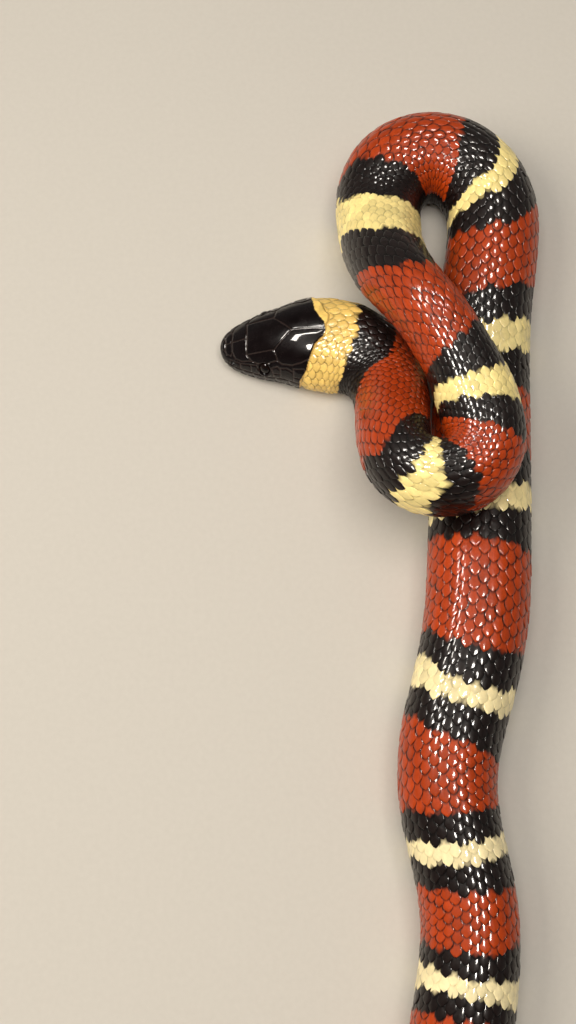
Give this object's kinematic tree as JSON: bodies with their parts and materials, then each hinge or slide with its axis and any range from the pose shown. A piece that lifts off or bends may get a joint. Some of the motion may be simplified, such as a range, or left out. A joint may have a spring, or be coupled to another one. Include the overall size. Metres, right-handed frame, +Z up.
{
  "type": "milk snake",
  "caption": "Life-size ringed milk snake lying on its belly, head low and neck looped over its own body.",
  "frame": {"origin": "middle of the animal's footprint, on the surface it lies on", "axes": "+Z up; +Y towards the loop of the neck, along the animal's longest extent; the snout points to -X"},
  "size_m": [0.133, 0.3396, 0.0303],
  "materials": {
    "head_scales": "glossy black scales",
    "red_scales": "glossy brick-red scales, ringed in black and yellow in the finished look",
    "eye": "wet black"
  },
  "bodies": {
    "root": {"head": "head_scales", "lower_jaw": "head_scales", "eye_left": "eye", "eye_right": "eye", "neck": "red_scales", "body_1": "red_scales", "body_2": "red_scales", "body_3": "red_scales", "body_4": "red_scales", "body_5": "red_scales", "body_6": "red_scales", "body_7": "red_scales", "body_8": "red_scales", "tail_base": "red_scales", "tail_tip": "head_scales"}
  },
  "joints": []
}
